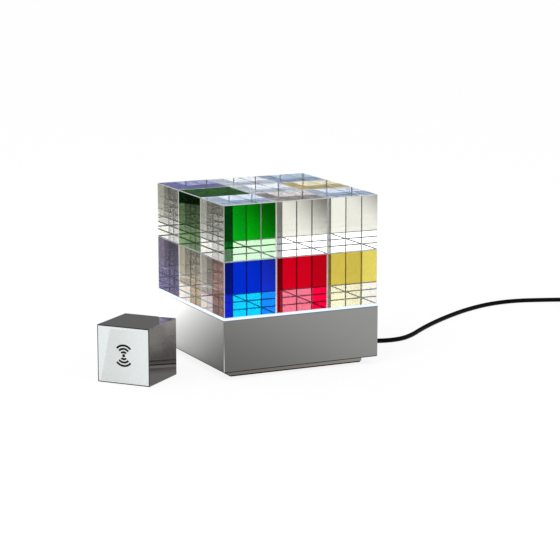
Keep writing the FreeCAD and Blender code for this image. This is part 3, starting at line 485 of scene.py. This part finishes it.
def coat_finish(name, node, coat):
    """Coated glass face. Its colour is the square of the share of light that it lets through.

    The colour changes in steps with the height over a tilted plane, which is fixed to the cube. The plane
    is level with the cube's foot at the stack's back, or where the coat's tilt says. Its slope comes from
    the photograph's viewing direction, so that a step lies where the lit foot is seen from there. The steps
    are painted light and shade: a paler foot is painted light from the plate. A coat may have other colours
    on its right or near part, and one in a strip on its left; these are painted light and shade too.
    """
    low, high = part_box(node)
    tree = tree_for(name)
    place = tree.object_place()
    parts = {axis: tree.part_of(place, axis) for axis in "XYZ"}
    slope = FOOT_SLOPES[node.rsplit("_", 1)[1]]
    level_line, slope = coat.get("tilt", (STACK_BACK - low[1], slope))
    height = (parts["Z"] - low[2] + (parts["Y"] - low[1] - level_line) * slope) / (high[2] - low[2])
    tint = tree.steps(height, coat["colours"])
    if "near_colours" in coat:
        edge = low[1] + coat["near_width"] * MM
        near = parts["Y"].ease(edge, edge - COLOUR_FADE)
        tint = tree.mix_colour(near, tint, tree.steps(height, coat["near_colours"]))
    if "right_colours" in coat:
        edge = high[0] - coat["right_width"] * MM
        right = parts["X"].ease(edge, edge + COLOUR_FADE)
        tint = tree.mix_colour(right, tint, tree.steps(height, coat["right_colours"]))
    if "left_colour" in coat:
        edge = low[0] + coat["left_width"] * MM
        strip = tuple(share ** 2 for share in coat["left_colour"]) + (1.0,)
        tint = tree.mix_colour(parts["X"].ease(edge, edge - COLOUR_FADE), tint, strip)
    return tree.finish(tree.principled(Base_Color=tint, Roughness=0.0, IOR=GLASS_IOR,
                                       Transmission_Weight=1.0))


def make_finishes():
    """Every finish by name. The names are the record's material slots, and a few more."""
    finishes = {
        "satin_metal": base_finish(),
        "pad_rubber": moulded_finish("pad_rubber", (0.012, 0.012, 0.013, 1.0), 0.75),
        "opal": opal_finish(),
        "steel": metal_finish("plated_steel", (0.60, 0.60, 0.61, 1.0), 0.28),
        "spreader_metal": metal_finish("rolled_aluminium", (0.74, 0.74, 0.75, 1.0), 0.38),
        "led_board_white": board_finish("white_board", (0.85, 0.85, 0.83, 1.0), (0.90, 0.90, 0.88, 1.0)),
        "led_yellow": phosphor_finish(),
        "white_plastic": moulded_finish("white_plastic", (0.86, 0.86, 0.85, 1.0), 0.7),
        "circuit_board": board_finish("green_board", (0.012, 0.10, 0.035, 1.0), (0.03, 0.17, 0.06, 1.0)),
        "component_black": moulded_finish("component_black", (0.016, 0.016, 0.017, 1.0), 0.5),
        "wire_insulation": moulded_finish("wire_red", (0.42, 0.02, 0.015, 1.0), 0.4),
        "cord_black": moulded_finish("lead_sheath", (0.0010, 0.0010, 0.0012, 1.0), 0.5, specular=0.12),
        "tie_band": woven_finish("woven_band", (0.010, 0.010, 0.011, 1.0)),
        "adapter_case": moulded_finish("adapter_plastic", (0.012, 0.012, 0.013, 1.0), 0.5, 1800.0, 1.6e-5),
        "pin_metal": metal_finish("nickel_plate", (0.72, 0.70, 0.66, 1.0), 0.2),
        "core_metal": metal_finish("transformer_core", (0.14, 0.13, 0.12, 1.0), 0.55),
        "mirror_metal": shell_finish(),
        "panel_glass": panel_finish(),
        "touch_copper": metal_finish("copper_foil", (0.75, 0.36, 0.22, 1.0), 0.3),
        "frame_plastic": moulded_finish("frame_plastic", (0.015, 0.015, 0.016, 1.0), 0.55),
        "cell_steel": metal_finish("cell_steel", (0.70, 0.70, 0.70, 1.0), 0.25),
        # The ground bevels are tinted dark grey: painted shade for the dark seams between the cubes.
        "bevel": ground_glass("ground_bevel_painted_shade", grey(0.2)),
        "milky_bevel": ground_glass("milky_bevel", grey(0.85), clearness=0.5),
        "glass_clear": clear_glass("glass_clear"),
        "print": print_finish(),
    }
    return finishes


# ---------------------------------------------------------------------------------------------------
# Glass cubes

COLUMNS = ("left", "centre", "right")
ROWS = ("front", "middle", "back")
LAYERS = ("lower", "upper")
BEVEL = 0.45 * MM
AIR_FILM = 0.05 * MM
# Numbers of a cube's faces, in the order in which bevelled_cube makes them.
LARGE_FACES = 6
BEVEL_FACES = 20
LEFT_FACE = 0
FRONT_FACE = 1
BACK_FACE = 4
TOP_FACE = 5
FOOT_BEVEL_OF = {FRONT_FACE: 6, LEFT_FACE: 10}
UPRIGHT_BEVELS = (14, 15, 16, 17)
TOP_BEVELS = (7, 9, 12, 13)
STACK_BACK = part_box("cube_back_left_lower")[1][1]
# Slope, towards the front, of the plane under which a cube's foot is seen lit in the photograph, by layer.
FOOT_SLOPES = {"lower": 0.1365, "upper": 0.1185}
# The colours below are set for the photograph's look. Each entry is a height, as a share of the
# cube's, and the share of light that passes from there up. Widths are in millimetres.
# Painted light and shade: each step in these colours, and each right, near or left colour, paints how the
# face is seen lit there. The paler foot is painted light from the plate.
BLUE = {"colours": [(0.0, (0.002, 0.315, 0.56)), (0.004, (0.001, 0.031, 0.80))],
        "right_colours": [(0.0, (0.004, 0.13, 0.47)), (0.004, (0.012, 0.036, 0.80))], "right_width": 11.8,
        "left_colour": (0.011, 0.039, 1.0), "left_width": 6.4}
RED = {"colours": [(0.0, (0.46, 0.096, 0.14)), (0.004, (0.76, 0.0006, 0.017))],
       "right_colours": [(0.0, (0.50, 0.0008, 0.026)), (0.004, (0.60, 0.0006, 0.012))], "right_width": 11.8,
       "left_colour": (0.76, 0.0006, 0.017), "left_width": 3.3}
YELLOW = {"colours": [(0.0, (0.535, 0.515, 0.35)), (0.004, (0.75, 0.60, 0.105))],
          "right_colours": [(0.0, (0.62, 0.60, 0.54)), (0.004, (0.92, 0.78, 0.17))], "right_width": 11.8}
GREEN = {"colours": [(0.0, (0.42, 0.51, 0.385)), (0.004, (0.0003, 0.51, 0.014))],
         "right_colours": [(0.0, (0.42, 0.51, 0.385)), (0.004, (0.0003, 0.68, 0.008))], "right_width": 11.8,
         "left_colour": (0.002, 0.23, 0.02), "left_width": 18.4}
GREEN_BACK = {"colours": [(0.0, (0.75, 0.95, 0.80))]}
# For left faces and the like: how far behind the cube's front the plane is level, and its slope.
SIDE_TILT = (0.020, 0.095)
# On the side coats below, the steps are painted light and shade as well.
GREEN_SIDE = {"tilt": SIDE_TILT, "colours": [(0.0, (0.32, 0.46, 0.26)), (0.812, (0.01, 0.06, 0.01))]}
GREEN_TOP = {"colours": [(0.0, (0.015, 0.21, 0.01))]}
VIOLET = {"tilt": SIDE_TILT, "colours": [(0.0, (0.32, 0.29, 0.42)), (0.445, (0.55, 0.50, 0.68))]}
VIOLET_TOP = {"colours": [(0.0, (0.20, 0.05, 0.60))]}
AMBER = {"colours": [(0.0, (1.0, 0.72, 0.03))]}
# On these two sides the white foot is painted light, and the darker band above it painted shade.
ROSE = {"tilt": SIDE_TILT,
        "colours": [(0.0, (1.0, 1.0, 0.97)), (0.315, (0.70, 0.66, 0.60)), (0.445, (0.97, 0.94, 0.87))],
        "near_colours": [(0.0, (0.46, 0.29, 0.26)), (0.445, (0.96, 0.63, 0.58))], "near_width": 20.0}
SAND = {"tilt": SIDE_TILT,
        "colours": [(0.0, (1.0, 1.0, 0.97)), (0.315, (0.72, 0.67, 0.57)), (0.445, (1.0, 0.96, 0.82))],
        "near_colours": [(0.0, (0.76, 0.62, 0.46)), (0.445, (1.0, 0.90, 0.76))], "near_width": 18.5}
# Painted shade on a clear side: a little darker low down.
PAINTED_LOW_SHADE = {"tilt": SIDE_TILT, "colours": [(0.0, (0.93, 0.93, 0.88)), (0.42, (1.0, 1.0, 0.95))]}
BROWN = {"colours": [(0.0, (0.36, 0.18, 0.15))]}
# Painted reflection: a pale blue sheen along a top's near and left edges.
PAINTED_SHEEN_EDGED_TOP = {"colours": [(0.0, (1.0, 1.0, 1.0))],
           "near_colours": [(0.0, (0.74, 0.82, 0.93))], "near_width": 20.0,
           "left_colour": (0.86, 0.91, 0.97), "left_width": 10.0}
# Painted reflection: a pale blue sheen over the whole top.
PAINTED_SHEEN_TOP = {"colours": [(0.0, (0.70, 0.76, 0.84))]}
COATED_CUBES = {
    "cube_front_left_lower": {FRONT_FACE: BLUE, LEFT_FACE: ROSE},
    "cube_front_centre_lower": {FRONT_FACE: RED, TOP_FACE: BROWN},
    "cube_front_right_lower": {FRONT_FACE: YELLOW},
    "cube_middle_left_upper": {FRONT_FACE: GREEN, BACK_FACE: GREEN_BACK, LEFT_FACE: GREEN_SIDE,
                               TOP_FACE: GREEN_TOP},
    "cube_back_left_lower": {LEFT_FACE: VIOLET, TOP_FACE: VIOLET_TOP},
    "cube_middle_left_lower": {LEFT_FACE: SAND},
    "cube_front_left_upper": {LEFT_FACE: PAINTED_LOW_SHADE, TOP_FACE: PAINTED_SHEEN_EDGED_TOP},
    "cube_front_right_upper": {TOP_FACE: PAINTED_SHEEN_EDGED_TOP},
    "cube_back_left_upper": {LEFT_FACE: PAINTED_LOW_SHADE, TOP_FACE: PAINTED_SHEEN_TOP},
    "cube_back_right_upper": {TOP_FACE: PAINTED_SHEEN_TOP},
    "cube_middle_right_lower": {TOP_FACE: AMBER},
}


def bevelled_cube(low, high, bevel):
    """Vertices and faces of a cube with flat bevels.

    Each corner has three vertices, one on each of the faces that meet there: it lies on its own face's
    plane and is drawn in by the bevel along the other two axes. The first six faces are the large ones,
    then come twelve bevels and eight corner facets.
    """
    low = np.array(low)
    high = np.array(high)
    signs = np.array([(x, y, z) for x in (-1, 1) for y in (-1, 1) for z in (-1, 1)])
    half = (high - low) / 2
    drawn_in = np.where(np.eye(3, dtype=bool), half, half - bevel)
    places = (high + low) / 2 + signs[:, None, :] * drawn_in[None, :, :]
    vertices = places.reshape(-1, 3)

    def vertex(corner, axis):
        return 3 * (4 * (corner[0] > 0) + 2 * (corner[1] > 0) + (corner[2] > 0)) + axis

    faces = []
    for side in (-1, 1):
        for axis in range(3):
            faces.append([vertex(corner, axis) for corner in ring(axis, side)])
    for axis in range(3):
        first, second = (axis + 1) % 3, (axis + 2) % 3
        for first_sign in (-1, 1):
            for second_sign in (-1, 1):
                ends = []
                for sign in (-1, 1):
                    corner = [0, 0, 0]
                    corner[axis], corner[first], corner[second] = sign, first_sign, second_sign
                    ends.append(corner)
                quad = [vertex(ends[0], first), vertex(ends[1], first),
                        vertex(ends[1], second), vertex(ends[0], second)]
                faces.append(quad if first_sign * second_sign > 0 else quad[::-1])
    for corner in signs:
        facet = [vertex(corner, axis) for axis in range(3)]
        faces.append(facet if corner.prod() > 0 else facet[::-1])
    return vertices, faces


def ring(axis, side):
    """The four corners of one face, counter-clockwise seen from outside."""
    first, second = (axis + 1) % 3, (axis + 2) % 3
    order = [(-1, -1), (1, -1), (1, 1), (-1, 1)]
    corners = []
    for a, b in order if side > 0 else order[::-1]:
        corner = [0, 0, 0]
        corner[axis], corner[first], corner[second] = side, a, b
        corners.append(corner)
    return corners


def mesh_piece(name, vertices, faces, finishes, face_finish=None):
    """Make a flat-shaded mesh object, with one finish or with a finish number for each face."""
    mesh = bpy.data.meshes.new(name)
    mesh.from_pydata(np.asarray(vertices).tolist(), [], [list(map(int, face)) for face in faces])
    for finish in finishes:
        mesh.materials.append(finish)
    if face_finish is not None:
        mesh.polygons.foreach_set("material_index", np.asarray(face_finish, dtype=np.int32))
    mesh.update()
    piece = bpy.data.objects.new(name, mesh)
    scene.collection.objects.link(piece)
    return piece


def make_cubes(finishes):
    """Eighteen polished cubes with ground bevels; an air film parts the two layers and the plate.

    The upright bevels are milky, and so are the upper layer's top ones. A front or left coat also covers
    the bevel at its foot.
    """
    for layer in LAYERS:
        for row in ROWS:
            for column in COLUMNS:
                node = f"cube_{row}_{column}_{layer}"
                low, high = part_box(node)
                low = np.array(low) + (0, 0, AIR_FILM)
                high = np.array(high) - (0, 0, AIR_FILM)
                used = [finishes["glass_clear"], finishes["bevel"]]
                numbers = [0] * LARGE_FACES + [1] * BEVEL_FACES
                for bevel in UPRIGHT_BEVELS + (TOP_BEVELS if layer == "upper" else ()):
                    numbers[bevel] = len(used)
                used.append(finishes["milky_bevel"])
                for face, coat in COATED_CUBES.get(node, {}).items():
                    numbers[face] = numbers[FOOT_BEVEL_OF.get(face, face)] = len(used)
                    used.append(coat_finish(f"coat_{node}_{face}", node, coat))
                piece = mesh_piece("glass_" + node, *bevelled_cube(low, high, BEVEL), used, numbers)
                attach(piece, node)
                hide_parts(node)


# ---------------------------------------------------------------------------------------------------
# Controller's pictogram: a dot, with three arcs above and three below

PICTOGRAM_STROKE = 1.45 * MM
PICTOGRAM_RADII = (2.5 * MM, 4.85 * MM, 7.25 * MM)
PICTOGRAM_DOT = 1.15 * MM
PICTOGRAM_HALF_ANGLE = math.radians(48)
PRINT_THICKNESS = 0.04 * MM
PICTOGRAM_SHIFT = 0.36 * MM
PICTOGRAM_RISE = 20.86 * MM
DOT_HOLE = 0.02 * MM
DOT_STEPS = 33
ARC_STEPS = 25
CONTROLLER_TURN = -50.0


def controller_axes():
    """Centre of the controller's foot, and the directions of its right side and its front."""
    low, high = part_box("controller_foot")
    centre = (low + high) / 2
    turn = math.radians(CONTROLLER_TURN)
    right = Vector((math.cos(turn), math.sin(turn), 0))
    front = Vector((math.sin(turn), -math.cos(turn), 0))
    return Vector((centre.x, centre.y, 0)), right, front


def band(inner, outer, start, end, steps):
    """Closed flat band of a ring between two angles, as a profile of four corners carried along the arc."""
    angle = np.linspace(start, end, steps)
    profile = np.array([(inner, 0), (outer, 0), (outer, PRINT_THICKNESS), (inner, PRINT_THICKNESS)])
    radius = profile[None, :, 0]
    points = np.stack([radius * np.cos(angle)[:, None], radius * np.sin(angle)[:, None],
                       np.broadcast_to(profile[:, 1], (steps, 4))], 2)
    index = np.arange(steps * 4).reshape(steps, 4)
    around = np.roll(index, -1, axis=1)
    faces = np.stack([index[:-1], around[:-1], around[1:], index[1:]], 2).reshape(-1, 4).tolist()
    faces += [index[0, ::-1].tolist(), index[-1].tolist()]
    return points.reshape(-1, 3), faces


def make_pictogram(finishes):
    """Printed wireless sign on the controller's panel, as thin raised ink."""
    origin, right, front = controller_axes()
    face = panel_face_distance(origin, front)
    shapes = [band(DOT_HOLE, PICTOGRAM_DOT, 0, 2 * math.pi, DOT_STEPS)]
    for radius in PICTOGRAM_RADII:
        for middle in (math.pi / 2, -math.pi / 2):
            shapes.append(band(radius - PICTOGRAM_STROKE / 2, radius + PICTOGRAM_STROKE / 2,
                               middle - PICTOGRAM_HALF_ANGLE, middle + PICTOGRAM_HALF_ANGLE, ARC_STEPS))
    vertices, faces = [], []
    for points, quads in shapes:
        offset = len(vertices)
        across = np.outer(points[:, 0] + PICTOGRAM_SHIFT, right)
        upwards = np.outer(points[:, 1] + PICTOGRAM_RISE, (0, 0, 1))
        outwards = np.outer(points[:, 2] + face, front)
        place = np.array(origin) + across + upwards + outwards
        vertices.extend(place.tolist())
        faces.extend([[number + offset for number in quad] for quad in quads])
    piece = mesh_piece("controller_pictogram", vertices, faces, [finishes["print"]])
    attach(piece, "controller")


def panel_face_distance(origin, front):
    """How far the panel's front face lies in front of the controller's axis."""
    mesh = NODES["controller_front_panel"].data
    points = np.empty(len(mesh.vertices) * 3, np.float32)
    mesh.vertices.foreach_get("co", points)
    return float(((points.reshape(-1, 3) - np.array(origin)) @ np.array(front)).max())


# ---------------------------------------------------------------------------------------------------
# CAD nodes that show as they are

def dress_nodes(finishes):
    """Give every CAD node the finish of its slot in the record."""
    for node, slot in SLOT_OF.items():
        finish = finishes.get(slot, finishes["glass_clear"])
        mesh = NODES[node].data
        if len(mesh.materials):
            for number in range(len(mesh.materials)):
                mesh.materials[number] = finish
        else:
            mesh.materials.append(finish)


# ---------------------------------------------------------------------------------------------------
# Studio

# Strengths, where 1 is white. Only the camera sees plain white. What glass and metal see is set for the
# photograph's look: it is darker in most places, and brighter than white in some.
FLOOR_HALF = 6.0
FLOOR_WHITE = 1.04
FLOOR_WHITE_SHARE = 0.84
FLOOR_THROUGH_FRONT = (0.01, 0.55)
FLOOR_THROUGH_BACK = (0.15, 1.04)
FLOOR_THROUGH_RIGHT = 0.2
FLOOR_MIRRORED_LEFT = (0.2, 1.7)
# Level next to the base's left side, where the table has painted shade.
FLOOR_PAINTED_SHADE_BESIDE_BASE = 0.45
# Strength of a painted glare on the table at the back left.
FLOOR_GLARE = 1.2
FLOOR_MIRRORED_NEAR = 0.95
FLOOR_MIRRORED_RIGHT = (0.2, 0.5)
FLOOR_ROUGH_METAL = 0.012
WORLD_OVERHEAD = 0.2
WORLD_MIRRORED = (0.44, 0.17)
WORLD_ROUGH_METAL = 0.07
WORLD_PLAIN = 0.8
WORLD_WHITE = 1.0
THROUGH_LEVEL = 2.7
# Where the floor's levels change. A pair is where a change starts and ends, along x or y. A triple has a
# slant before them, and its change runs where x plus y times the slant goes from the one to the other.
BEHIND_EDGE = (0.0, 0.06)
BACK_EDGE = (0.34, -0.116, -0.041)
BACK_RIGHT_EDGE = (-0.02, 0.06)
FRONT_EDGE = (0.4778, -0.00667, 0.01556)
BASE_SIDE_EDGE = (-0.0605, -0.0615)
BESIDE_EDGE = (-0.061, -0.080)
LEFT_EDGE = (0.66, -0.100, 0.030)
GLARE_EDGE = (0.66, -0.012, -0.002)
NEAR_EDGE = (-0.0605, -0.0615)
NEAR_RIGHT_EDGE = (-0.16, -0.12)
MIRRORED_RIGHT_EDGE = (-0.06, 0.14)
MIRRORED_SIDE_EDGE = (-0.061, -0.060)
# Where the world's levels change, by the part of a direction that points up, right or back.
OVERHEAD_EDGE = (0.6, 0.35)
WORLD_RIGHT_EDGE = (-0.3, 0.2)
WORLD_BACK_EDGE = (-0.2, 0.3)
# What shows through the glass above the horizon: a window at the back left, and walls.
# Each stop is an azimuth in degrees, clockwise from the back, and a share of THROUGH_LEVEL.
WINDOW_STOPS = [(-180, 0.27), (-60, 0.18), (-31, 0.3), (-28.5, 0.7), (-27, 0.9), (-26.2, 1.0), (-20, 1.0),
                (-17, 0.18), (0, 0.15), (19, 0.27), (20, 0.3), (23.5, 0.3), (24.5, 0.15), (28, 0.14),
                (31, 0.19), (60, 0.15), (155, 0.37), (180, 0.27)]


def blend(factor, first, second):
    """Number between first and second, by a factor from 0 to 1."""
    return first + (second - first) * factor


def ray(tree, kind):
    """1 for rays of one kind, and 0 for others."""
    return tree.node("ShaderNodeLightPath", output=f"Is {kind} Ray")


def make_floor():
    """Plain pale table. The camera sees it near white, with a faint soft shadow.

    Glass and metal show other levels, which change from place to place on it. Each boundary is a soft step
    along a straight line. In reflections, the table has painted shade beside the base's left side and a
    painted pool of light at the back left.
    """
    tree = tree_for("floor")
    place = tree.object_place()
    x = tree.part_of(place, "X")
    y = tree.part_of(place, "Y")
    lit = tree.node("ShaderNodeBsdfDiffuse", inputs={"Color": grey(0.9)})

    def slanting(slant, start, end):
        """Soft step from 0 to 1, where x plus y times the slant goes from start to end."""
        return (x + y * slant).ease(start, end)

    white = tree.emission(grey(FLOOR_WHITE))
    seen = tree.mix_shader(ray(tree, "Camera") * FLOOR_WHITE_SHARE, lit, white)

    back = blend(slanting(*BACK_EDGE), *FLOOR_THROUGH_BACK)
    back = blend(x.ease(*BACK_RIGHT_EDGE), back, FLOOR_THROUGH_RIGHT)
    front = blend(slanting(*FRONT_EDGE), *FLOOR_THROUGH_FRONT)
    through = blend(y.ease(*BEHIND_EDGE), front, back)

    # Painted shade on the table beside the base's left side, as reflections show it.
    beside = x.ease(*BASE_SIDE_EDGE) * blend(x.ease(*BESIDE_EDGE), FLOOR_PAINTED_SHADE_BESIDE_BASE, 1.0)
    # Painted light: the table seen in reflections grows brighter towards the back left, up to a glare.
    left = blend(slanting(*LEFT_EDGE), *FLOOR_MIRRORED_LEFT) * beside
    left = left + slanting(*GLARE_EDGE) * FLOOR_GLARE
    left = blend(y.ease(*NEAR_EDGE) * x.ease(*NEAR_RIGHT_EDGE), left, FLOOR_MIRRORED_NEAR)
    right = blend(x.ease(*MIRRORED_RIGHT_EDGE), *FLOOR_MIRRORED_RIGHT)
    mirrored = blend(x.ease(*MIRRORED_SIDE_EDGE), left, right)

    glossy = blend(ray(tree, "Singular"), mirrored, FLOOR_ROUGH_METAL)
    seen = tree.mix_shader(ray(tree, "Glossy"), seen, tree.emission(grey(1.0), glossy))
    glass_view = tree.emission((1.0, 1.0, 0.89, 1.0), through)
    seen = tree.mix_shader(ray(tree, "Transmission"), seen, glass_view)
    half = FLOOR_HALF
    corners = [(-half, -half, 0), (half, -half, 0), (half, half, 0), (-half, half, 0)]
    floor = mesh_piece("floor", corners, [[0, 1, 2, 3]], [tree.finish(seen)])


def make_world():
    """White surroundings for the camera, soft light for plain surfaces, and a studio for glass and metal.

    Glass sees the window's level by azimuth, and an even one overhead. A mirror sees two levels, and rough
    metal sees a low one.
    """
    world = bpy.data.worlds.new("studio")
    scene.world = world
    tree = Tree(world)
    direction = tree.node("ShaderNodeTexCoord", output="Generated")
    across = tree.part_of(direction, "X")
    away = tree.part_of(direction, "Y")
    azimuth = tree.node("ShaderNodeMath", {"operation": "ARCTAN2"}, {0: across, 1: away})
    turn = azimuth / (2 * math.pi) + 0.5
    stops = [(angle / 360 + 0.5, (share,) * 3) for angle, share in WINDOW_STOPS]
    window = tree.node("ShaderNodeValToRGB", {"stops": stops}, {"Fac": turn})
    low = tree.part_of(direction, "Z").ease(*OVERHEAD_EDGE)
    through = blend(low, WORLD_OVERHEAD, window * THROUGH_LEVEL)

    mirrored = blend(across.ease(*WORLD_RIGHT_EDGE) * away.ease(*WORLD_BACK_EDGE), *WORLD_MIRRORED)
    reflected = blend(ray(tree, "Singular"), mirrored, WORLD_ROUGH_METAL)
    strength = blend(ray(tree, "Glossy"), WORLD_PLAIN, reflected)
    strength = blend(ray(tree, "Transmission"), strength, through)
    strength = blend(ray(tree, "Camera"), strength, WORLD_WHITE)
    tree.finish(tree.node("ShaderNodeBackground", inputs={"Color": grey(1.0), "Strength": strength}))


LAMP_PLACE = (-0.9, -0.7, 1.5)
LAMP_AIM = Vector((0, 0, 0.05))
LAMP_WIDTH = 1.2
LAMP_WATTS = 7.0


def make_lamp():
    """One wide soft lamp above and in front, on the left."""
    data = bpy.data.lights.new("soft_lamp", "AREA")
    data.shape = "DISK"
    data.size = LAMP_WIDTH
    data.energy = LAMP_WATTS
    lamp = bpy.data.objects.new("soft_lamp", data)
    lamp.location = LAMP_PLACE
    lamp.rotation_euler = (LAMP_AIM - lamp.location).to_track_quat("-Z", "Y").to_euler()
    scene.collection.objects.link(lamp)


def allow_deep_glass():
    """Light crosses up to six cubes and turns back inside them, so paths may be long.

    The noise filter goes by colour alone, because its albedo and normal guides are grainy behind so many
    faces.
    """
    cycles = scene.cycles
    cycles.denoising_input_passes = "RGB"
    cycles.max_bounces = 40
    cycles.transmission_bounces = 40
    cycles.glossy_bounces = 30
    cycles.transparent_max_bounces = 16


scene.view_settings.view_transform = "Standard"
make_camera()
lead = make_lead()
allow_deep_glass()
finishes = make_finishes()
dress_nodes(finishes)
lead.data.materials.append(finishes["cord_black"])
make_cubes(finishes)
make_pictogram(finishes)
make_floor()
make_world()
make_lamp()

bpy.context.view_layer.update()
